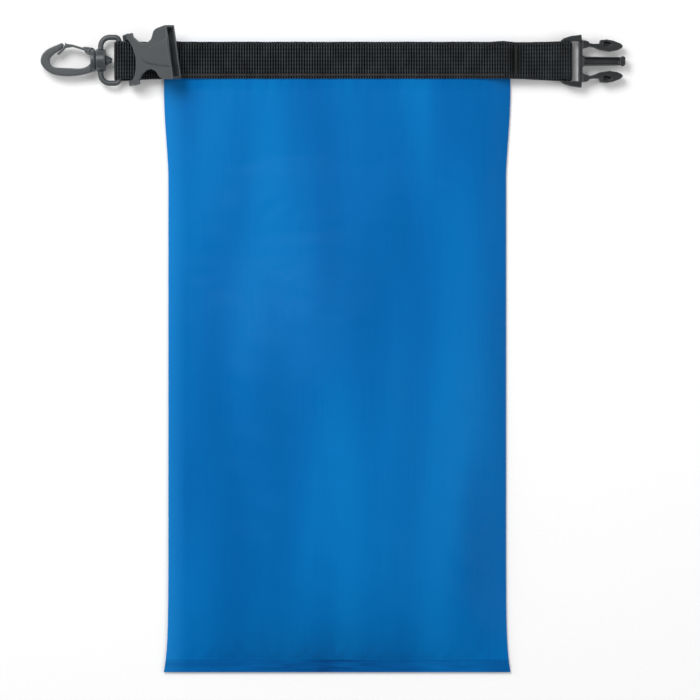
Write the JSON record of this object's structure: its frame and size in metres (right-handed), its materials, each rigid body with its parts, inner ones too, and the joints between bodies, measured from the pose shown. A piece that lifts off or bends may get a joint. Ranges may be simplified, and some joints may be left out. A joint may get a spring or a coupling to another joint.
{
  "type": "dry bag",
  "caption": "Roll-top waterproof bag with a webbing-stiffened mouth, side-release buckle halves on its strap ends and a swivel snap hook.",
  "frame": {"origin": "middle of the back panel's underside, in the plane of the surface the bag lies on", "axes": "+X along the mouth towards the male buckle, +Y from the bottom weld to the mouth, +Z out of the front panel"},
  "size_m": [0.3182, 0.3519, 0.0249],
  "materials": {
    "coated_fabric": "satin",
    "seam_tape": "satin",
    "stiffener": "matte",
    "webbing": "matte",
    "thread": "matte",
    "buckle_plastic": "satin",
    "dark_plastic": "satin"
  },
  "bodies": {
    "bag": {"bag_front_panel": "coated_fabric", "bag_back_panel": "coated_fabric", "bottom_weld": "coated_fabric", "left_seam_tape": "seam_tape", "right_seam_tape": "seam_tape", "bottom_seam_tape": "seam_tape"},
    "roll_band": {"band_front": "coated_fabric", "band_back": "coated_fabric"},
    "mouth_strip": {"mouth_front_hem": "coated_fabric", "mouth_back_hem": "coated_fabric", "front_stiffener": "stiffener", "back_stiffener": "stiffener", "mouth_webbing": "webbing", "mouth_stitching": "thread"},
    "left_tab": {"left_tab_webbing": "webbing", "left_bar_tack": "thread"},
    "right_tab": {"right_tab_webbing": "webbing", "right_bar_tack": "thread"},
    "female": {"female_buckle": "buckle_plastic"},
    "ring": {"swivel_ring": "buckle_plastic"},
    "hook": {"snap_hook": "buckle_plastic"},
    "gate": {"hook_gate": "buckle_plastic"},
    "male": {"male_buckle": "dark_plastic"},
    "prong_upper": {"male_prong_upper": "dark_plastic"},
    "prong_lower": {"male_prong_lower": "dark_plastic"}
  },
  "joints": [
    {"name": "roll_fold_bag", "type": "hinge", "parent": "bag", "child": "roll_band", "pos_m": [0, 0.127, 0.0136], "axis": [1, 0, 0], "range_deg": [0, 179.5]},
    {"name": "roll_fold_strip", "type": "hinge", "parent": "roll_band", "child": "mouth_strip", "pos_m": [0, 0.1512, 0.00775], "axis": [1, 0, 0], "range_deg": [0, 179.5]},
    {"name": "left_tab_bend", "type": "hinge", "parent": "mouth_strip", "child": "left_tab", "pos_m": [-0.09535, 0.1615, 0.0084], "axis": [0, 1, 0], "range_deg": [0, 35]},
    {"name": "right_tab_bend", "type": "hinge", "parent": "mouth_strip", "child": "right_tab", "pos_m": [0.09535, 0.1615, 0.0084], "axis": [0, -1, 0], "range_deg": [0, 90]},
    {"name": "female_swing", "type": "hinge", "parent": "left_tab", "child": "female", "pos_m": [-0.1127, 0.1615, 0.0066], "axis": [0.1392, -0.9903, 0], "range_deg": [0, 63]},
    {"name": "ring_swing", "type": "hinge", "parent": "left_tab", "child": "ring", "pos_m": [-0.1188, 0.1615, 0.0063], "axis": [0, 1, 0], "range_deg": [0, 45]},
    {"name": "hook_swivel", "type": "hinge", "parent": "ring", "child": "hook", "pos_m": [-0.1287, 0.1615, 0.0063], "axis": [1, 0, 0], "continuous": true},
    {"name": "gate_flex", "type": "hinge", "parent": "hook", "child": "gate", "pos_m": [-0.1351, 0.1666, 0.0063], "axis": [0, 0, 1], "range_deg": [0, 18], "stiffness_Nm_per_rad": 0.02},
    {"name": "male_swing", "type": "hinge", "parent": "right_tab", "child": "male", "pos_m": [0.1257, 0.161, 0.0056], "axis": [0, -1, 0], "range_deg": [0, 75]},
    {"name": "prong_upper_flex", "type": "hinge", "parent": "male", "child": "prong_upper", "pos_m": [0.135, 0.1703, 0.0056], "axis": [0, 0, -1], "range_deg": [0, 8], "stiffness_Nm_per_rad": 0.05},
    {"name": "prong_lower_flex", "type": "hinge", "parent": "male", "child": "prong_lower", "pos_m": [0.135, 0.1517, 0.0056], "axis": [0, 0, 1], "range_deg": [0, 8], "stiffness_Nm_per_rad": 0.05}
  ],
  "couplings": [
    {"joint": "roll_fold_strip", "follows": "roll_fold_bag", "ratio": 1},
    {"joint": "female_swing", "follows": "roll_fold_bag", "ratio": 0.35}
  ]
}
